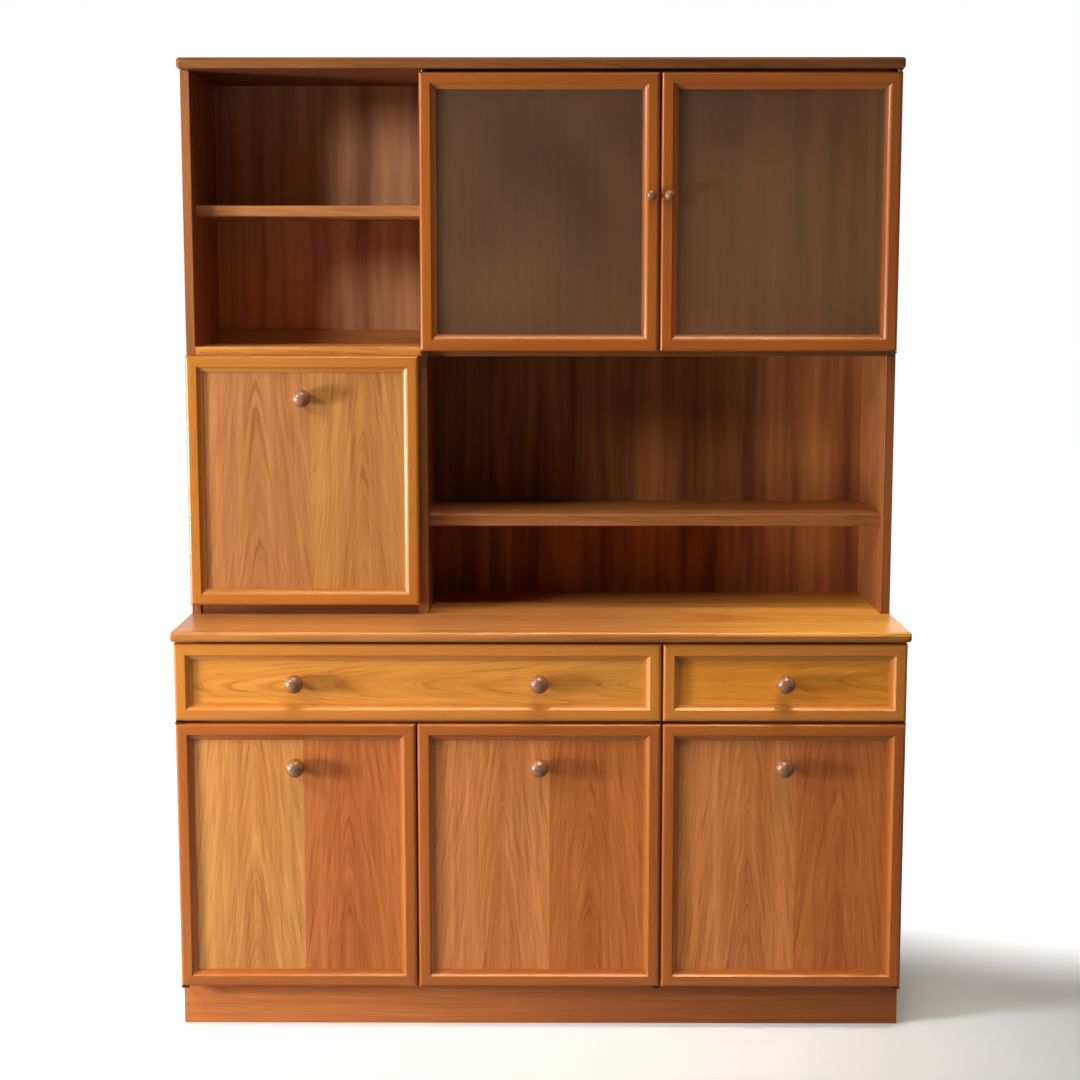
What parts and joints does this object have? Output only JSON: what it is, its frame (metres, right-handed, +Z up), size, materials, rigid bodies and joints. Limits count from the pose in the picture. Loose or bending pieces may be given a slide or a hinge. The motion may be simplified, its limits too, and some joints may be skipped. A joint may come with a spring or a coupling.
{
  "type": "dresser with hutch",
  "caption": "Teak dresser: low cupboard with drawers and panelled doors, carrying a shallower hutch with an open bay, a drop-front flap, glass doors and an open shelf area.",
  "frame": {"origin": "on the floor, under the middle of the whole object's box", "axes": "+X to the viewer's right, -Y out of the front, +Z up"},
  "size_m": [1.37, 0.4668, 1.825],
  "materials": {
    "teak_carcass": "satin lacquer",
    "teak_frame": "satin lacquer",
    "teak_panel": "satin lacquer",
    "teak_back": "matt",
    "plinth_wood": "satin lacquer",
    "knob_wood": "satin lacquer",
    "drawer_box_wood": "sealed",
    "glass": "clear",
    "hinge_metal": "dulled",
    "catch_plastic": "matt"
  },
  "bodies": {
    "root": {"plinth": "plinth_wood", "base_side_left": "teak_carcass", "base_side_right": "teak_carcass", "base_bottom": "teak_carcass", "base_partition": "teak_carcass", "base_back": "teak_back", "base_top": "teak_carcass", "drawer_rails": "teak_carcass", "drawer_runners": "drawer_box_wood", "base_shelves": "teak_carcass", "base_shelf_studs": "hinge_metal", "hutch_side_left": "teak_carcass", "hutch_side_right": "teak_carcass", "hutch_divider_upper": "teak_carcass", "hutch_divider_lower": "teak_carcass", "hutch_floor": "teak_carcass", "hutch_mid_board": "teak_carcass", "hutch_top": "teak_carcass", "hutch_back": "teak_back", "hutch_shelf_left": "teak_carcass", "hutch_shelf_right": "teak_carcass", "bay_back_rail": "teak_carcass", "hutch_dowels": "drawer_box_wood", "base_door_pivots": "hinge_metal", "glass_door_pivots": "hinge_metal", "flap_hinge_fixed": "hinge_metal", "catches": "catch_plastic"},
    "drawer_long": {"drawer_long_frame": "teak_frame", "drawer_long_panel": "teak_panel", "drawer_long_sides": "drawer_box_wood", "drawer_long_ends": "drawer_box_wood", "drawer_long_bottom": "drawer_box_wood", "drawer_long_knobs": "knob_wood"},
    "drawer_short": {"drawer_short_frame": "teak_frame", "drawer_short_panel": "teak_panel", "drawer_short_sides": "drawer_box_wood", "drawer_short_ends": "drawer_box_wood", "drawer_short_bottom": "drawer_box_wood", "drawer_short_knob": "knob_wood"},
    "door_left": {"door_left_frame": "teak_frame", "door_left_panel": "teak_panel", "door_left_knob": "knob_wood"},
    "door_middle": {"door_middle_frame": "teak_frame", "door_middle_panel": "teak_panel", "door_middle_knob": "knob_wood"},
    "door_right": {"door_right_frame": "teak_frame", "door_right_panel": "teak_panel", "door_right_knob": "knob_wood"},
    "glass_door_left": {"glass_door_left_frame": "teak_frame", "glass_door_left_pane": "glass", "glass_door_left_beads": "teak_frame", "glass_door_left_knob": "knob_wood"},
    "glass_door_right": {"glass_door_right_frame": "teak_frame", "glass_door_right_pane": "glass", "glass_door_right_beads": "teak_frame", "glass_door_right_knob": "knob_wood"},
    "flap": {"flap_frame": "teak_frame", "flap_panel": "teak_panel", "flap_knob": "knob_wood", "flap_hinge_leaves": "hinge_metal"}
  },
  "joints": [
    {"name": "drawer_long_slide", "type": "slide", "parent": "root", "child": "drawer_long", "axis": [0, -1, 0], "range_m": [0, 0.3]},
    {"name": "drawer_short_slide", "type": "slide", "parent": "root", "child": "drawer_short", "axis": [0, -1, 0], "range_m": [0, 0.3]},
    {"name": "door_left_hinge", "type": "hinge", "parent": "root", "child": "door_left", "pos_m": [-0.672, -0.19905, 0.084], "axis": [0, 0, -1], "range_deg": [0, 95]},
    {"name": "door_middle_hinge", "type": "hinge", "parent": "root", "child": "door_middle", "pos_m": [0.21725, -0.19905, 0.084], "axis": [0, 0, 1], "range_deg": [0, 95]},
    {"name": "door_right_hinge", "type": "hinge", "parent": "root", "child": "door_right", "pos_m": [0.672, -0.19905, 0.084], "axis": [0, 0, 1], "range_deg": [0, 95]},
    {"name": "glass_door_left_hinge", "type": "hinge", "parent": "root", "child": "glass_door_left", "pos_m": [-0.222, -0.03955, 1.277], "axis": [0, 0, -1], "range_deg": [0, 95]},
    {"name": "glass_door_right_hinge", "type": "hinge", "parent": "root", "child": "glass_door_right", "pos_m": [0.6715, -0.03955, 1.277], "axis": [0, 0, 1], "range_deg": [0, 95]},
    {"name": "flap_hinge", "type": "hinge", "parent": "root", "child": "flap", "pos_m": [-0.679, -0.02755, 0.7865], "axis": [1, 0, 0], "range_deg": [0, 90]}
  ]
}
